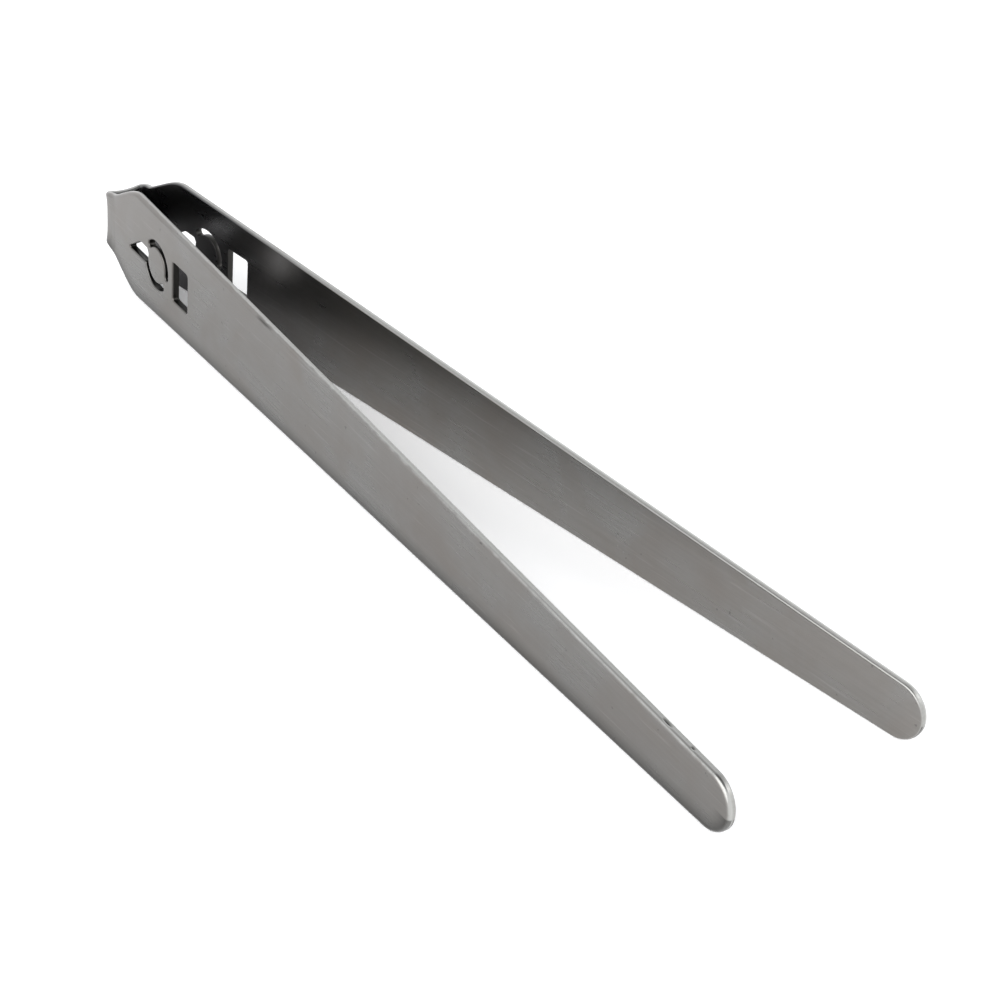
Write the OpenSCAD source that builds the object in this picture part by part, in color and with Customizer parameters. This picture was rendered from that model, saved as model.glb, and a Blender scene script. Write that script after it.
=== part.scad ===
// Spring tongs bent from one strip of sheet steel: a narrow U at the head, two flat tapering blades.
// +X runs from the head to the tips, +Y to the left blade and +Z up across the blade's width.
// The origin is the middle of the flat back's outer face. Millimetres and degrees.

/* [Overall] */
// Length of a blade along its outer face, from the back's plane to the tip
blade_len = 272; // [210:1:330]
// Thickness of the sheet
sheet_t = 2; // [1.4:0.1:2.4]
// Angle that each blade leans out from the middle plane at rest
lean = 4.45; // [3:0.05:7]

/* [Blade] */
// Width of a blade just after its shoulder
blade_w = 30.4; // [26:0.1:36]
// Width of a blade where its round tip begins
tip_w = 13.2; // [10:0.1:17]
// Distance from the back's plane to the end of the shoulder
shoulder_end = 21; // [14:0.5:24]

/* [Head] */
// Width across the outer faces at the back's plane
head_w = 11.94; // [10:0.01:15]
// Height of the strip at the back and the necks
neck_w = 14.4; // [10:0.1:16]
// Inside radius of the two bends
bend_r = 1; // [0.6:0.1:1.5]
// Radial clearance where a blade turns about the rounded end of the back
hinge_gap = 0.05; // [0.03:0.01:0.08]

/* [Disc] */
// Distance from the back's plane to the centre of the disc
disc_at = 32.1; // [28:0.1:36]
// Outer radius of the slots round the disc
disc_r = 6.75; // [5.5:0.05:8.2]
// Width of the slots round the disc
slot_w = 1.8; // [1:0.1:2.2]
// Length of the teardrop, from the slot's outer edge to its point
tear_len = 9.1; // [6.5:0.1:11]

/* [Window] */
// Length of solid blade between the slots round the disc and the window
window_gap = 2.75; // [1.5:0.05:20]
// Length of the window along the blade
window_len = 8.4; // [6:0.1:16]
// Height of the window across the blade
window_h = 11; // [7:0.1:14]
// Radius of the window's corners
window_r = 0.8; // [0.4:0.1:2]

/* [Hidden] */
$fn = 96;
steel = "silver";

// A cut runs this far past the faces that it goes through.
past = 1;

// Bend: the centre of each bend, and the place along the blade where the bend ends.
bend_outer = bend_r + sheet_t;
bend_mid = bend_r + sheet_t / 2;
bend_y = head_w / 2 - bend_outer * (1 - sin(lean)) / cos(lean);
neck_at = bend_outer * tan((90 - lean) / 2);

// Hinge line of the left blade, in the middle of the sheet where the bend ends.
hinge_x = bend_outer - bend_mid * sin(lean);
hinge_y = bend_y + bend_mid * cos(lean);

// Blade outline: straight tapering sides, tangent to a round tip.
shoulder_start = 0;
shoulder_steps = 16;
tip_steps = 36;
taper = (blade_w - tip_w) / 2 / (blade_len - tip_w / 2 - shoulder_end);
taper_angle = atan(taper);
tip_r = (blade_w / 2 - taper * (blade_len - shoulder_end)) / (1 / cos(taper_angle) - taper);
tip_at = blade_len - tip_r;

// Ends of the two slots round the disc, as angles from the tip's direction. The gaps are its two bridges.
upper_slot = [-18, 138];
lower_slot = [160, 314];
// Angles of the teardrop's wide end and of its point, and the radius of each.
tear_wide_angle = 178;
tear_point_angle = 186;
tear_wide_r = 2.2;
tear_point_r = 0.35;
window_at = disc_at + disc_r + window_gap;

// Half width of the tapering sides at a distance s from the back's plane.
function side(s) = blade_w / 2 - taper * (s - shoulder_end);

// Smooth step from 0 to 1.
function ease(x) = x * x * (3 - 2 * x);

// Half width of the shoulder, from the neck to the tapering sides.
function shoulder(s) =
    let (rise = ease((s - shoulder_start) / (shoulder_end - shoulder_start)))
    neck_w / 2 * (1 - rise) + side(s) * rise;

// The blade's outline, with its length along X and its width along Y.
module blade_outline() {
    step = (shoulder_end - neck_at) / shoulder_steps;
    turn = 2 * (90 - taper_angle) / tip_steps;
    rise = [for (i = [0:shoulder_steps]) neck_at + i * step];
    upper = [for (s = rise) [s, shoulder(s)]];
    tip = [for (i = [0:tip_steps]) 90 - taper_angle - i * turn];
    round_tip = [for (a = tip) [tip_at + tip_r * cos(a), tip_r * sin(a)]];
    lower = [for (i = [shoulder_steps:-1:0]) [rise[i], -shoulder(rise[i])]];
    polygon(concat(upper, round_tip, lower));
}

// A wedge from the origin between two angles, long enough to cut a ring of radius r.
module wedge(r, from, to) {
    reach = 2 * r;
    steps = 4;
    turn = (to - from) / steps;
    rim = [for (i = [0:steps]) reach * [cos(from + i * turn), sin(from + i * turn)]];
    polygon(concat([[0, 0]], rim));
}

// One curved slot of the ring round the disc.
module ring_slot(ends) {
    intersection() {
        difference() {
            circle(disc_r);
            circle(disc_r - slot_w);
        }
        wedge(disc_r, ends[0], ends[1]);
    }
}

// The teardrop, which opens out of the ring and comes to a point towards the head.
module teardrop() {
    point_at = disc_r + tear_len - tear_point_r;
    difference() {
        hull() {
            rotate(tear_wide_angle) translate([disc_r - slot_w / 2, 0]) circle(tear_wide_r, $fn = 32);
            rotate(tear_wide_angle) translate([disc_r + tear_wide_r, 0]) circle(tear_wide_r, $fn = 32);
            rotate(tear_point_angle) translate([point_at, 0]) circle(tear_point_r, $fn = 32);
        }
        circle(disc_r - slot_w / 2);
    }
}

// The slots that leave the disc standing in the sheet.
module disc_cutouts() {
    translate([disc_at, 0]) {
        ring_slot(upper_slot);
        ring_slot(lower_slot);
        teardrop();
    }
}

// The rectangular window, with round corners.
module window() {
    x0 = window_at + window_r;
    x1 = window_at + window_len - window_r;
    half_h = window_h / 2 - window_r;
    for (x = [x0, x1])
        for (y = [-half_h, half_h])
            translate([x, y]) circle(window_r, $fn = 48);
    translate([window_at, -half_h]) square([window_len, 2 * half_h]);
    translate([x0, -window_h / 2]) square([x1 - x0, window_h]);
}

// A blade with its outer face on the plane Y = 0, its length along X and its width along Z.
module flat_blade() {
    rotate([90, 0, 0])
        linear_extrude(sheet_t)
            difference() {
                blade_outline();
                disc_cutouts();
                window();
            }
}

// The left blade in its place, hollowed to turn about the rounded end of the back.
module placed_blade() {
    difference() {
        translate([0, head_w / 2, 0]) rotate([0, 0, lean]) flat_blade();
        translate([hinge_x, hinge_y, -neck_w])
            cylinder(h = 2 * neck_w, r = sheet_t / 2 + hinge_gap);
    }
}

// Half of the back seen from above: the flat, one bend and the round end that the blade turns about.
module half_back() {
    translate([0, -past]) square([sheet_t, bend_y + past]);
    translate([bend_outer, bend_y])
        intersection() {
            difference() {
                circle(bend_outer);
                circle(bend_r);
            }
            wedge(bend_outer, 90 + lean, 180);
        }
    translate([hinge_x, hinge_y]) circle(sheet_t / 2);
}

module spring_back() {
    color(steel)
        translate([0, 0, -neck_w / 2])
            linear_extrude(neck_w) {
                half_back();
                mirror([0, 1]) half_back();
            }
}

module left_blade() {
    color(steel) placed_blade();
}

module right_blade() {
    color(steel) mirror([0, 1, 0]) placed_blade();
}

spring_back();
left_blade();
right_blade();
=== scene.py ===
"""Spring tongs bent from one strip of satin stainless steel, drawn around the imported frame."""

import math

import bmesh
import bpy
from mathutils import Matrix, Vector
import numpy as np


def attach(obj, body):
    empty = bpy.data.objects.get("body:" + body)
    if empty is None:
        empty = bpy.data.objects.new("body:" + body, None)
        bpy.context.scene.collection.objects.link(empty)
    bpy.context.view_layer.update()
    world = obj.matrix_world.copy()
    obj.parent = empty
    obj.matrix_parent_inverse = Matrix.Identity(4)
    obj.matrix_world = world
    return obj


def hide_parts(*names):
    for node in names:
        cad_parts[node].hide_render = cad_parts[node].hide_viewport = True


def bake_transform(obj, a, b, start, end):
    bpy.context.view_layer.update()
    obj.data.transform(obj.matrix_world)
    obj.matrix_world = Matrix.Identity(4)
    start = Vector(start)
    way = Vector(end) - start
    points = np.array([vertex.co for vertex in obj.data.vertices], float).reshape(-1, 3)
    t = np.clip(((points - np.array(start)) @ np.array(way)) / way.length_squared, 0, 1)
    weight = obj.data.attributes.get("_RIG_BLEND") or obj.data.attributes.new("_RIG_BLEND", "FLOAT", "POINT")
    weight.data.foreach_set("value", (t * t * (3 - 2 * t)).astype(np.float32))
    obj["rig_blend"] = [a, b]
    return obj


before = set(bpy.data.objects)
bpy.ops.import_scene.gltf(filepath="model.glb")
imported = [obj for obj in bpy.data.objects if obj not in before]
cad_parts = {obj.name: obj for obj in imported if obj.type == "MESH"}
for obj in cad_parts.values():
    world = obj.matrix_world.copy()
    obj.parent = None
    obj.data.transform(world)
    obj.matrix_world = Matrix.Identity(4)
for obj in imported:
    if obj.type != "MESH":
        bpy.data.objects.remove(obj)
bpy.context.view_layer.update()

MM = 0.001

# The strip. Lengths are in metres, angles in radians. They follow the CAD model's own values.
SHEET_T = 2.0 * MM
BLADE_LEN = 272.0 * MM
BLADE_HALF = 15.2 * MM
TIP_HALF = 6.6 * MM
NECK_HALF = 7.1 * MM
HEAD_HALF = 5.97 * MM
SHOULDER_START = -1.0 * MM
SHOULDER_END = 21.0 * MM
BEND_R = 1.0 * MM
LEAN = math.radians(4.45)

# The cut-outs, placed along the outer face from the back's plane.
DISC_AT = 32.1 * MM
DISC_R = 6.75 * MM
SLOT_W = 1.8 * MM
TEAR_LEN = 9.1 * MM
TEAR_R = 2.2 * MM
TEAR_POINT_R = 0.35 * MM
WINDOW_AT = 41.6 * MM
WINDOW_LEN = 8.4 * MM
WINDOW_H = 11.0 * MM
WINDOW_R = 0.8 * MM

# Edge rounding on the outer and inner faces. On the strip's sides the punch rolls the outer edge over and
# leaves the inner one tighter, and in the cut-outs both are tight.
SIDE_ROUND = (0.95 * MM, 0.5 * MM)
CUT_ROUND = (0.45 * MM, 0.2 * MM)
ROUND_STEPS = 6
# A corner's inset is stretched to keep the rim's width, up to one over this.
CORNER_LEAST = 0.6

# Bending leaves its marks: the strip's edges dip between the two bends, and flare out at each bend.
# The flare grows with the fourth power of the distance from the strip's middle line.
BACK_DIP = 0.5 * MM
BEND_FLARE = 0.4 * MM
FLARE_RISE = 1.4 * MM
FLARE_END = 4 * MM
FLARE_POWER = 4

# The upper shoulders are this much slimmer than the lower ones. The trim grows over the first length past
# the neck, and fades over the last one from where it starts to fade.
UPPER_TRIM = 0.6 * MM
TRIM_GROWS = 3 * MM
TRIM_FADES_AT = 11 * MM
TRIM_FADES = 14 * MM

# Painted shade darkens the lower edges. It reaches this far in on the outer faces, and on the
# inner faces only round the first steps of the edge.
LOWER_SHADE_WIDTH = 5 * MM
INNER_SHADE_STEPS = 3

# Worked out from the values above.
BEND_OUTER = BEND_R + SHEET_T
BEND_MID = BEND_R + SHEET_T / 2
BEND_Y = HEAD_HALF - BEND_OUTER * (1 - math.sin(LEAN)) / math.cos(LEAN)
BEND_TURN = math.pi / 2 - LEAN
NECK_AT = BEND_OUTER * math.tan(BEND_TURN / 2)
HINGE_AT = BEND_Y + BEND_MID * BEND_TURN
HINGE = Vector((BEND_OUTER - BEND_MID * math.sin(LEAN), BEND_Y + BEND_MID * math.cos(LEAN), 0))
ALONG = Vector((math.cos(LEAN), math.sin(LEAN), 0))
OUTWARD = Vector((-math.sin(LEAN), math.cos(LEAN), 0))
TAPER = (BLADE_HALF - TIP_HALF) / (BLADE_LEN - TIP_HALF - SHOULDER_END)
TAPER_ANGLE = math.atan(TAPER)
TIP_R = (BLADE_HALF - TAPER * (BLADE_LEN - SHOULDER_END)) / (1 / math.cos(TAPER_ANGLE) - TAPER)
TIP_AT = BLADE_LEN - TIP_R

# How far up a blade the strip still flexes when it is squeezed.
FLEX = 60 * MM

# Nicks in the right blade's upper edge: distance from the back's plane, length, depth, and place across
# the sheet's thickness from its middle. A nick's floor is flat for a part of its half width.
NICK_REACH = 1.3 * MM
NICK_HALF = 0.22 * MM
NICK_FLAT = 0.4
NICK_STEPS = 8
NICKS = [
    (90.3 * MM, 8.5 * MM, 0.25 * MM, 0.72 * MM),
    (250.6 * MM, 3.3 * MM, 0.25 * MM, 0),
    (258.6 * MM, 1.4 * MM, 0.15 * MM, 0),
]

# A flat strip is made this much too long, and then cut off square at the hinge line.
SPARE = 6 * MM

# Angles about the disc, in degrees from the tip's direction: the slots' ends, without their round caps.
SLOT_CAP = math.degrees(SLOT_W / 2 / (DISC_R - SLOT_W / 2))
UPPER_SLOT = (-18 + SLOT_CAP, 138 - SLOT_CAP)
LOWER_SLOT = (160 + SLOT_CAP, 314 - SLOT_CAP)
TEAR_WIDE = 178
TEAR_POINT = 186


def developed(s):
    """Distance along the strip's middle for a distance s along the blade's outer face."""
    return HINGE_AT + s - NECK_AT


def ease(x):
    """A smooth step from 0 to 1."""
    x = min(1.0, max(0.0, x))
    return x * x * (3 - 2 * x)


def half_width(d):
    """Half the strip's width at a distance d along it from the middle of the back."""
    s = abs(d) - HINGE_AT + NECK_AT
    side = BLADE_HALF - TAPER * (s - SHOULDER_END)
    rise = ease((s - SHOULDER_START) / (SHOULDER_END - SHOULDER_START))
    dip = BACK_DIP * (1 - ease(abs(d) / HINGE_AT))
    return min(BLADE_HALF, NECK_HALF * (1 - rise) + side * rise) - dip


def upper_half_width(d):
    """Half the strip's width on its upper side, which is slimmer at the shoulder."""
    s = abs(d) - HINGE_AT + NECK_AT
    trim = ease((s - NECK_AT) / TRIM_GROWS) * (1 - ease((s - TRIM_FADES_AT) / TRIM_FADES))
    return half_width(d) - UPPER_TRIM * trim


def arc(centre, radius, start, end, steps):
    """Points on an arc, both ends included, angles in degrees."""
    turn = [math.radians(start + (end - start) * i / steps) for i in range(steps + 1)]
    return [Vector((centre[0] + radius * math.cos(a), centre[1] + radius * math.sin(a))) for a in turn]


def blade_loop():
    """A blade's outline laid flat, with a spare tail behind the hinge line."""
    steps = 30
    end = developed(SHOULDER_END)
    rise = [HINGE_AT + (end - HINGE_AT) * i / steps for i in range(steps + 1)]
    run = [HINGE_AT - SPARE] + rise
    upper = [Vector((d, upper_half_width(d))) for d in run]
    lean = math.degrees(TAPER_ANGLE)
    tip = arc((developed(TIP_AT), 0), TIP_R, 90 - lean, lean - 90, steps=48)
    lower = [Vector((d, -half_width(d))) for d in reversed(run)]
    return upper + tip + lower


def back_loop():
    """The back and both bends laid flat, with a spare tail at each end."""
    steps = 24
    run = [HINGE_AT * (2 * i / steps - 1) for i in range(steps + 1)]
    tail = HINGE_AT + SPARE
    upper = [Vector((d, half_width(d))) for d in [-tail] + run + [tail]]
    return upper + [Vector((p.x, -p.y)) for p in reversed(upper)]


def window_loop():
    """The rectangular window with its round corners."""
    x0, x1 = developed(WINDOW_AT) + WINDOW_R, developed(WINDOW_AT + WINDOW_LEN) - WINDOW_R
    y = WINDOW_H / 2 - WINDOW_R
    corners = [((x1, y), 0), ((x0, y), 90), ((x0, -y), 180), ((x1, -y), 270)]
    return [p for centre, a in corners for p in arc(centre, WINDOW_R, a, a + 90, steps=6)]


def polar(radius, angle):
    """A point at a radius and an angle in degrees."""
    a = math.radians(angle)
    return Vector((radius * math.cos(a), radius * math.sin(a)))


def upper_slot_loop():
    """The slot over the top of the disc, with rounded ends."""
    centre = Vector((developed(DISC_AT), 0))
    first, last = UPPER_SLOT
    outer = arc(centre, DISC_R, first, last, steps=28)
    inner = arc(centre, DISC_R - SLOT_W, last, first, steps=22)
    mid, cap = DISC_R - SLOT_W / 2, SLOT_W / 2
    last_cap = arc(centre + polar(mid, last), cap, last, last + 180, steps=6)[1:-1]
    first_cap = arc(centre + polar(mid, first), cap, first + 180, first + 360, steps=6)[1:-1]
    return outer + last_cap + inner + first_cap


def lower_slot_loop():
    """The slot under the disc, which opens into a teardrop pointing at the head."""
    centre = Vector((developed(DISC_AT), 0))
    mid, cap = DISC_R - SLOT_W / 2, SLOT_W / 2
    first, last = LOWER_SLOT
    wide_at = centre + polar(DISC_R + TEAR_R, TEAR_WIDE)
    point_at = centre + polar(DISC_R + TEAR_LEN - TEAR_POINT_R, TEAR_POINT)
    run = point_at - wide_at
    above = math.degrees(math.atan2(run.y, run.x)) % 360 - 90
    above += math.degrees(math.asin((TEAR_R - TEAR_POINT_R) / run.length))
    inner = arc(centre, DISC_R - SLOT_W, last, first, steps=24)
    first_cap = arc(centre + polar(mid, first), cap, first - 180, first - 120, steps=4)[1:]
    mouth = centre + polar(mid - cap / 4, TEAR_WIDE) + polar(TEAR_R, TEAR_WIDE - 90)
    top = arc(wide_at, TEAR_R, TEAR_WIDE - 90, above, steps=4)
    nose = arc(point_at, TEAR_POINT_R, above, 270, steps=6)
    under = 180 + math.degrees(math.asin((centre.y - nose[-1].y) / DISC_R))
    outer = arc(centre, DISC_R, under, last, steps=20)
    last_cap = arc(centre + polar(mid, last), cap, last, last + 180, steps=6)[1:-1]
    return inner + first_cap + [mouth] + top + nose + outer + last_cap


def add_rim(bm, loop, is_hole, rounding, side):
    """Builds half the rounded edge along one outline and returns its last ring, on the face."""
    count = len(loop)
    area = sum(loop[i].cross(loop[(i + 1) % count]) for i in range(count))
    inward = 1 if (area > 0) != is_hole else -1
    normals = []
    for i, p in enumerate(loop):
        before = (p - loop[i - 1]).normalized()
        after = (loop[(i + 1) % count] - p).normalized()
        across = Vector((-(before + after).y, (before + after).x)).normalized()
        stretch = max(CORNER_LEAST, across.dot(Vector((-after.y, after.x))))
        normals.append(across * inward / stretch)
    wall_shade = bm.verts.layers.float["wall_shade"]
    lower_edge_shade = bm.verts.layers.float["lower_edge_shade"]
    verts = [bm.verts.new((p.x, p.y, 0)) for p in loop]
    for v in verts:
        v[wall_shade] = is_hole
    edges = [bm.edges.new((verts[i], verts[(i + 1) % count])) for i in range(count)]
    profile = [(0, SHEET_T / 2 - rounding)]
    for i in range(1, ROUND_STEPS + 1):
        a = math.pi / 2 * i / ROUND_STEPS
        profile.append((rounding * (1 - math.cos(a)), SHEET_T / 2 - rounding + rounding * math.sin(a)))
    if not is_hole:
        profile.append((LOWER_SHADE_WIDTH, SHEET_T / 2))
    for step, (inset, height) in enumerate(profile):
        made = bmesh.ops.extrude_edge_only(bm, edges=edges)["geom"]
        ring = [v for v in made if isinstance(v, bmesh.types.BMVert)]
        edges = [e for e in made if isinstance(e, bmesh.types.BMEdge)]
        places = {}
        for i, v in enumerate(verts):
            linked = next(e.other_vert(v) for e in v.link_edges if e.other_vert(v) in ring)
            places[linked] = i
            # The walls of the cut-outs get painted shade, fading towards the face.
            linked[wall_shade] = is_hole * (1 - step / ROUND_STEPS)
            # Marks the lower edges for painted shade.
            in_lower_shade = inset < LOWER_SHADE_WIDTH if side > 0 else step < INNER_SHADE_STEPS
            linked[lower_edge_shade] = in_lower_shade and not is_hole and loop[i].y < 0
            linked.co = (loop[i].x + normals[i].x * inset, loop[i].y + normals[i].y * inset, side * height)
        verts = sorted(ring, key=places.get)
    return edges


def flat_strip(outline, holes):
    """The strip laid flat, with its edges rounded: length along X, width along Y, outer face up."""
    bm = bmesh.new()
    bm.verts.layers.float.new("wall_shade")
    bm.verts.layers.float.new("lower_edge_shade")
    for side, level in ((1, 0), (-1, 1)):
        rims = add_rim(bm, outline, False, SIDE_ROUND[level], side)
        for hole in holes:
            rims += add_rim(bm, hole, True, CUT_ROUND[level], side)
        bmesh.ops.triangle_fill(bm, edges=rims, use_beauty=True, normal=(0, 0, side))
    bmesh.ops.remove_doubles(bm, verts=bm.verts, dist=1e-7)
    return bm


def cut(bm, at, clear_below=False, clear_above=False):
    """Cuts the strip across at a distance along it, and closes the end if a side is cleared."""
    geom = bm.verts[:] + bm.edges[:] + bm.faces[:]
    made = bmesh.ops.bisect_plane(
        bm, geom=geom, dist=1e-7, plane_co=(at, 0, 0), plane_no=(1, 0, 0),
        clear_inner=clear_below, clear_outer=clear_above)
    if clear_below or clear_above:
        ends = [e for e in made["geom_cut"] if isinstance(e, bmesh.types.BMEdge) and e.is_boundary]
        bmesh.ops.triangle_fill(bm, edges=ends, use_beauty=True, normal=(1, 0, 0))
        for e in ends:
            e.smooth = False


def bent(p):
    """Where a point of the flat strip lies once the strip is bent to shape."""
    d, width, out = abs(p.x), p.y, p.z
    swell = ease((d - BEND_Y) / FLARE_RISE) * (1 - ease((d - HINGE_AT) / FLARE_END))
    out += BEND_FLARE * min(1, abs(width) / NECK_HALF) ** FLARE_POWER * swell
    if d <= BEND_Y:
        place = Vector((SHEET_T / 2 - out, d, width))
    elif d <= HINGE_AT:
        a = (d - BEND_Y) / BEND_MID
        r = BEND_MID + out
        place = Vector((BEND_OUTER - r * math.cos(a), BEND_Y + r * math.sin(a), width))
    else:
        place = HINGE + ALONG * (d - HINGE_AT) + OUTWARD * out
        place.z = width
    if p.x < 0:
        place.y = -place.y
    return place


def nick(bm, at, length, depth, across):
    """Presses a shallow nick into the upper edge, at a place across the sheet's thickness."""
    for i in range(NICK_STEPS + 1):
        cut(bm, at + length * (i / NICK_STEPS - 0.5))
    nick_shade = bm.verts.layers.float["wall_shade"]
    for v in bm.verts:
        along = 1 - (2 * (v.co.x - at) / length) ** 2
        near = ease((v.co.y - half_width(at) + NICK_REACH) / NICK_REACH)
        inside = ease(1 + NICK_FLAT - abs(v.co.z - across) / NICK_HALF)
        press = max(0, along) * near * inside
        v.co.y -= depth * press
        # The nick gets painted shade.
        v[nick_shade] = max(v[nick_shade], press)


def strip_piece(name, bm, material):
    """Bends a flat strip to shape, keeping each point's place on the flat strip for its material."""
    place = bm.verts.layers.float_vector.new("strip_place")
    for v in bm.verts:
        v[place] = v.co
        v.co = bent(v.co)
    bmesh.ops.recalc_face_normals(bm, faces=bm.faces)
    for f in bm.faces:
        f.smooth = True
    mesh = bpy.data.meshes.new(name)
    bm.to_mesh(mesh)
    bm.free()
    mesh.materials.append(material)
    piece = bpy.data.objects.new(name, mesh)
    bpy.context.scene.collection.objects.link(piece)
    even = piece.modifiers.new("even_normals", "WEIGHTED_NORMAL")
    even.mode = "FACE_AREA"
    even.weight = 50
    even.keep_sharp = True
    return piece


def blade(side, nicks):
    """One blade's flat strip, cut off at the hinge line; side is 1 for the left and -1 for the right."""
    bm = flat_strip(blade_loop(), [window_loop(), upper_slot_loop(), lower_slot_loop()])
    cut(bm, HINGE_AT, clear_below=True)
    steps = 30
    for i in range(1, steps + 1):
        cut(bm, HINGE_AT + FLEX * i / steps)
    for at, length, depth, across in nicks:
        nick(bm, developed(at), length, depth, across)
    bmesh.ops.scale(bm, vec=(side, 1, 1), verts=bm.verts)
    return bm


def back():
    """The back and its two bends, cut off at the hinge lines."""
    bm = flat_strip(back_loop(), [])
    cut(bm, -HINGE_AT, clear_below=True)
    cut(bm, HINGE_AT, clear_above=True)
    steps = 16
    for side in (-1, 1):
        for i in range(steps):
            cut(bm, side * (BEND_Y + (HINGE_AT - BEND_Y) * i / steps))
    return bm


def linear(colour):
    """An sRGB hex colour as linear RGBA."""
    parts = [int(colour[i:i + 2], 16) / 255 for i in (1, 3, 5)]
    return [c / 12.92 if c <= 0.04045 else ((c + 0.055) / 1.055) ** 2.4 for c in parts] + [1]


def node(tree, kind, settings=None, links=None, output=0):
    """Adds a shader node and returns one of its outputs.

    Settings are its properties and socket values, and links are its inputs' sources."""
    made = tree.nodes.new(kind)
    for key, value in (settings or {}).items():
        if isinstance(key, str) and hasattr(made, key):
            setattr(made, key, value)
        else:
            made.inputs[key].default_value = value
    for key, source in (links or {}).items():
        tree.links.new(source, made.inputs[key])
    return made.outputs[output] if made.outputs else None


def face_marks(tree, place):
    """Marks all over the faces: rolling grain, smudges, hairline scratches and dark specks."""
    # Rolling grain: lines 0.7 mm wide and about 25 mm long, drawn coarser than the real 0.1 mm.
    grain_place = node(tree, "ShaderNodeVectorMath",
                       {"operation": "MULTIPLY", 1: (40, 1400, 900)}, {0: place})
    grain = node(tree, "ShaderNodeTexNoise",
                 {"Scale": 1.0, "Detail": 1.0, "Roughness": 0.5}, {"Vector": grain_place})

    # Smudges and water marks, 10 to 25 mm across.
    water = node(tree, "ShaderNodeTexNoise",
                 {"Scale": 55.0, "Detail": 4.0, "Roughness": 0.55, "Distortion": 0.6}, {"Vector": place})
    smudges = node(tree, "ShaderNodeMapRange", {"From Min": 0.35, "From Max": 0.7}, {"Value": water})

    # Hairline scratches along the strip, about 0.2 mm wide and 8 to 20 mm long.
    hair_place = node(tree, "ShaderNodeVectorMath",
                      {"operation": "MULTIPLY", 1: (70, 2000, 600)}, {0: place})
    hair = node(tree, "ShaderNodeTexNoise",
                {"Scale": 1.0, "Detail": 1.0, "Roughness": 0.4, "Distortion": 0.15}, {"Vector": hair_place})
    scratches = node(tree, "ShaderNodeMapRange", {"From Min": 0.66, "From Max": 0.74}, {"Value": hair})

    # A few dark specks of food or scale, about 0.6 mm across.
    dust = node(tree, "ShaderNodeTexNoise",
                {"Scale": 420.0, "Detail": 2.0, "Roughness": 0.7}, {"Vector": place})
    specks = node(tree, "ShaderNodeMapRange", {"From Min": 0.72, "From Max": 0.76, "To Max": 0.5},
                  {"Value": dust})
    return grain, smudges, scratches, specks


def sheared_sides(tree, place, depth, from_head):
    """Where the strip's sides are rubbed bright, where they are torn, and the torn zone's roughness."""
    from_middle = node(tree, "ShaderNodeMath", {"operation": "ABSOLUTE"}, {0: depth})
    off_face = node(tree, "ShaderNodeMapRange",
                    {"From Min": SHEET_T / 2 - 0.02 * MM, "From Max": SHEET_T / 2 - 0.22 * MM},
                    {"Value": from_middle})

    # The bright rub starts at the inner face. It reaches further over towards the tips, to a ragged end.
    rub_reach = node(tree, "ShaderNodeMapRange",
                     {"From Min": 60 * MM, "From Max": 220 * MM, "To Min": -0.05 * MM, "To Max": 0.75 * MM},
                     {"Value": from_head})
    ragged = node(tree, "ShaderNodeTexNoise",
                  {"Scale": 330.0, "Detail": 3.0, "Roughness": 0.6}, {"Vector": place})
    rub_end = node(tree, "ShaderNodeMath", {"operation": "MULTIPLY_ADD", 1: 0.8 * MM},
                   {0: ragged, 2: rub_reach})
    past_rub = node(tree, "ShaderNodeMath", {"operation": "SUBTRACT"}, {0: depth, 1: rub_end})
    within_rub = node(tree, "ShaderNodeMapRange",
                      {"From Min": -0.1 * MM, "From Max": -0.6 * MM}, {"Value": past_rub})
    bright = node(tree, "ShaderNodeMath", {"operation": "MULTIPLY"}, {0: off_face, 1: within_rub})

    # The metal broke through the inner half of its thickness, and is torn there in ridges 0.5 to 2 mm long.
    broken = node(tree, "ShaderNodeMapRange", {"From Min": 0.15 * MM, "From Max": -0.15 * MM},
                  {"Value": depth})
    tear_place = node(tree, "ShaderNodeVectorMath",
                      {"operation": "MULTIPLY", 1: (1800, 1800, 500)}, {0: place})
    ridges = node(tree, "ShaderNodeTexNoise",
                  {"Scale": 1.0, "Detail": 3.0, "Roughness": 0.65}, {"Vector": tear_place})
    torn = node(tree, "ShaderNodeMath", {"operation": "MULTIPLY"}, {0: bright, 1: broken})
    torn_ridges = node(tree, "ShaderNodeMath", {"operation": "MULTIPLY"}, {0: torn, 1: ridges})
    return bright, torn, torn_ridges


def painted_shades(tree, depth, from_head):
    """How strongly the steel is painted darker: painted shade on the outer faces, along the lower edges and
    inside the head.
    """
    # Painted shade: the outer faces are painted a shade darker than the inner ones.
    outer_shade = node(tree, "ShaderNodeMapRange", {"From Min": 0.3 * MM, "From Max": 0.95 * MM},
                   {"Value": depth})

    # Painted shade along the lower edges, in dark grey.
    in_lower_shade = node(tree, "ShaderNodeAttribute", {"attribute_name": "lower_edge_shade"}, output="Fac")
    lower_shade = node(tree, "ShaderNodeMath", {"operation": "POWER", 1: 1.6}, {0: in_lower_shade})
    lower_shade = node(tree, "ShaderNodeMath", {"operation": "MULTIPLY", 1: 0.7}, {0: lower_shade})

    # Painted shade inside the head, on the inner faces, dark near the head and fading out along the blades.
    head_shade_along = node(tree, "ShaderNodeMapRange",
                     {"interpolation_type": "SMOOTHSTEP", "From Min": 35 * MM, "From Max": 110 * MM,
                      "To Min": 0.8, "To Max": 0.0}, {"Value": from_head})
    head_shade_inside = node(tree, "ShaderNodeMapRange", {"From Min": -0.3 * MM, "From Max": -0.95 * MM},
                      {"Value": depth})
    head_shade = node(tree, "ShaderNodeMath", {"operation": "MULTIPLY"}, {0: head_shade_along, 1: head_shade_inside})
    return outer_shade, lower_shade, head_shade


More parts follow.
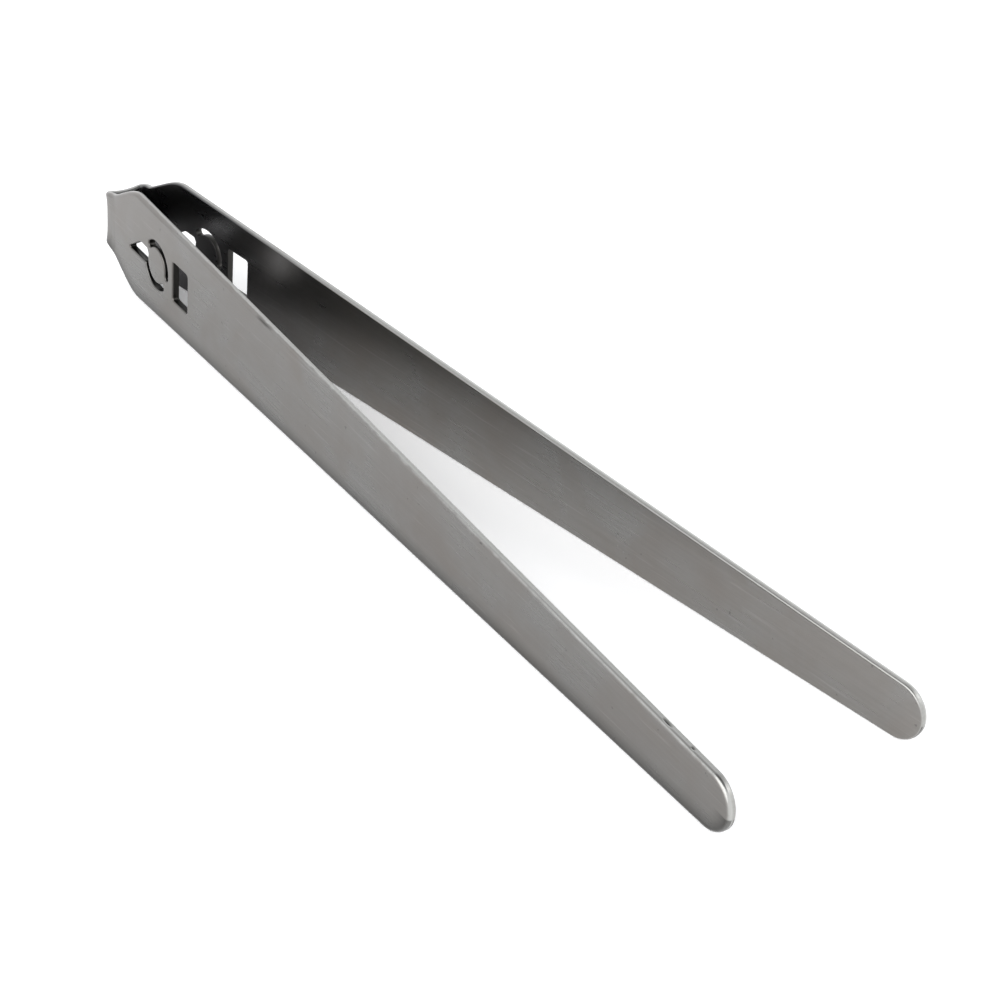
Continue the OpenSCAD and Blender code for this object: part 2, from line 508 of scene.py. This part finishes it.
def satin_stainless():
    """304 stainless sheet, stamped, bent and tumbled to a satin finish.

    The faces are an even mid grey with a fine grain along the strip, faint smudges and a few scratches and
    specks. The sheared sides are brighter where the punch rubbed them and rougher where the metal broke.
    Painted shade darkens the outer faces, the inside of the head and the lower edges."""
    material = bpy.data.materials.new("satin_stainless_304")
    material.use_nodes = True
    tree = material.node_tree
    tree.nodes.clear()
    place = node(tree, "ShaderNodeAttribute", {"attribute_name": "strip_place"}, output="Vector")
    along = node(tree, "ShaderNodeSeparateXYZ", {}, {0: place}, "X")
    from_head = node(tree, "ShaderNodeMath", {"operation": "ABSOLUTE"}, {0: along})
    depth = node(tree, "ShaderNodeSeparateXYZ", {}, {0: place}, "Z")
    grain, smudges, scratches, specks = face_marks(tree, place)
    bright, torn, torn_ridges = sheared_sides(tree, place, depth, from_head)
    outer_shade, lower_shade, head_shade = painted_shades(tree, depth, from_head)
    # The walls of the cut-outs and the nicks are painted dark, as painted shade in these recesses.
    painted_wall_shade = node(tree, "ShaderNodeAttribute", {"attribute_name": "wall_shade"}, output="Fac")

    clean = node(tree, "ShaderNodeMix",
                 {"data_type": "RGBA", "A": linear("#82817F"), "B": linear("#7E7A76")},
                 {"Factor": smudges}, "Result")
    grain_tone = node(tree, "ShaderNodeMapRange",
                      {"From Min": 0.3, "From Max": 0.7, "To Min": 0.97, "To Max": 1.03}, {"Value": grain})
    colour = node(tree, "ShaderNodeVectorMath", {"operation": "SCALE"}, {0: clean, "Scale": grain_tone})
    faint_scratches = node(tree, "ShaderNodeMath", {"operation": "MULTIPLY", 1: 0.12}, {0: scratches})
    layers = [
        ("MIX", "#B4B4B2", faint_scratches),
        ("MIX", "#4E4D4B", specks),
        ("MIX", "#A9A9A6", bright),
        ("MIX", "#8C8B88", torn_ridges),
        # Painted shade: the outer faces a shade darker.
        ("MULTIPLY", "#E8E8E8", outer_shade),
        # Painted shade along the lower edges.
        ("MIX", "#383837", lower_shade),
        # Painted shade inside the head.
        ("MIX", "#29292D", head_shade),
        # Painted shade on the walls of the cut-outs and in the nicks.
        ("MIX", "#3B3A38", painted_wall_shade),
    ]
    for blend, tint, share in layers:
        colour = node(tree, "ShaderNodeMix",
                      {"data_type": "RGBA", "blend_type": blend, "B": linear(tint)},
                      {"Factor": share, "A": colour}, "Result")

    rough = node(tree, "ShaderNodeMapRange", {"To Min": 0.23, "To Max": 0.28}, {"Value": smudges})
    for added, mark in ((0.08, grain), (0.12, torn)):
        rough = node(tree, "ShaderNodeMath", {"operation": "MULTIPLY_ADD", 1: added}, {0: mark, 2: rough})
    bump = node(tree, "ShaderNodeBump", {"Strength": 0.05, "Distance": 0.02 * MM}, {"Height": grain})
    steel = node(tree, "ShaderNodeBsdfPrincipled", {"Metallic": 1.0},
                 {"Base Color": colour, "Roughness": rough, "Normal": bump})
    node(tree, "ShaderNodeOutputMaterial", {}, {"Surface": steel})
    return material


def floor_material():
    """Matt white acrylic, softly lit from below like a light table."""
    material = bpy.data.materials.new("lit_white_acrylic")
    material.use_nodes = True
    tree = material.node_tree
    tree.nodes.clear()
    acrylic = node(tree, "ShaderNodeBsdfPrincipled",
                   {"Base Color": linear("#F4F4F4"), "Roughness": 0.9, "Specular IOR Level": 0.1,
                    "Emission Color": linear("#FFFFFF"), "Emission Strength": 0.2})
    node(tree, "ShaderNodeOutputMaterial", {}, {"Surface": acrylic})
    return material


def make_camera():
    """The camera stands to the right of the tips and above them, and leans a little."""
    azimuth, elevation, roll = math.radians(48.92), math.radians(33.03), math.radians(6.17)
    level = math.cos(elevation)
    look = Vector((-math.sin(azimuth) * level, math.cos(azimuth) * level, -math.sin(elevation)))
    right = Vector((math.cos(azimuth), math.sin(azimuth), 0))
    up = right.cross(look)
    tilted = math.cos(roll) * right + math.sin(roll) * up
    upright = math.cos(roll) * up - math.sin(roll) * right
    camera = bpy.data.objects.new("camera", bpy.data.cameras.new("camera"))
    camera.data.lens = 76.79
    camera.data.sensor_width = 36
    turn = Matrix((tilted, upright, -look)).transposed()
    camera.matrix_world = Matrix.Translation((0.46496, -0.25961, 0.25884)) @ turn.to_4x4()
    bpy.context.scene.collection.objects.link(camera)
    bpy.context.scene.camera = camera


def make_floor():
    """A plain floor that the lower edges rest on, from the shoulders to the tips."""
    bm = bmesh.new()
    bmesh.ops.create_grid(bm, x_segments=1, y_segments=1, size=4)
    bmesh.ops.rotate(bm, matrix=Matrix.Rotation(-TAPER_ANGLE, 3, "Y"), verts=bm.verts)
    bmesh.ops.translate(bm, vec=(SHOULDER_END, 0, -BLADE_HALF), verts=bm.verts)
    mesh = bpy.data.meshes.new("floor")
    bm.to_mesh(mesh)
    bm.free()
    mesh.materials.append(floor_material())
    floor = bpy.data.objects.new("floor", mesh)
    bpy.context.scene.collection.objects.link(floor)


def soft_light(name, place, target, size, power):
    """A square softbox facing a point."""
    light = bpy.data.lights.new(name, "AREA")
    light.size = size
    light.energy = power
    lamp = bpy.data.objects.new(name, light)
    lamp.location = place
    lamp.rotation_euler = (Vector(target) - Vector(place)).to_track_quat("-Z", "Y").to_euler()
    bpy.context.scene.collection.objects.link(lamp)


def make_light():
    """Soft studio light: pale walls under a dark ceiling, and boxes beside the tongs and past the tips."""
    world = bpy.data.worlds.new("studio")
    bpy.context.scene.world = world
    world.use_nodes = True
    tree = world.node_tree
    tree.nodes.clear()
    heading = node(tree, "ShaderNodeTexCoord", output="Generated")
    height = node(tree, "ShaderNodeSeparateXYZ", {}, {0: heading}, "Z")
    walls = node(tree, "ShaderNodeMapRange",
                 {"interpolation_type": "SMOOTHSTEP", "From Min": 0.66, "From Max": 0.95,
                  "To Min": 1.6, "To Max": 0.1}, {"Value": height})
    room = node(tree, "ShaderNodeBackground", {"Color": linear("#F7F8FA")}, {"Strength": walls})
    node(tree, "ShaderNodeOutputWorld", {}, {"Surface": room})
    middle = (0.13, 0, 0)
    soft_light("side_box", (0.35, -0.85, 0.6), middle, size=1.2, power=10)
    soft_light("tip_box", (0.73, 0.61, 0.7), middle, size=0.35, power=1.5)
    bpy.context.scene.view_settings.view_transform = "Standard"


make_camera()
make_light()
make_floor()

steel = satin_stainless()
spring_back = strip_piece("spring_back_strip", back(), steel)
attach(spring_back, "spring_back")
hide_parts("spring_back")

for side, body, nicks in ((1, "left_blade", []), (-1, "right_blade", NICKS)):
    piece = strip_piece(body + "_strip", blade(side, nicks), steel)
    start = bent(Vector((side * HINGE_AT, 0, 0)))
    end = bent(Vector((side * (HINGE_AT + FLEX), 0, 0)))
    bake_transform(piece, "spring_back", body, start=start, end=end)
    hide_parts(body)
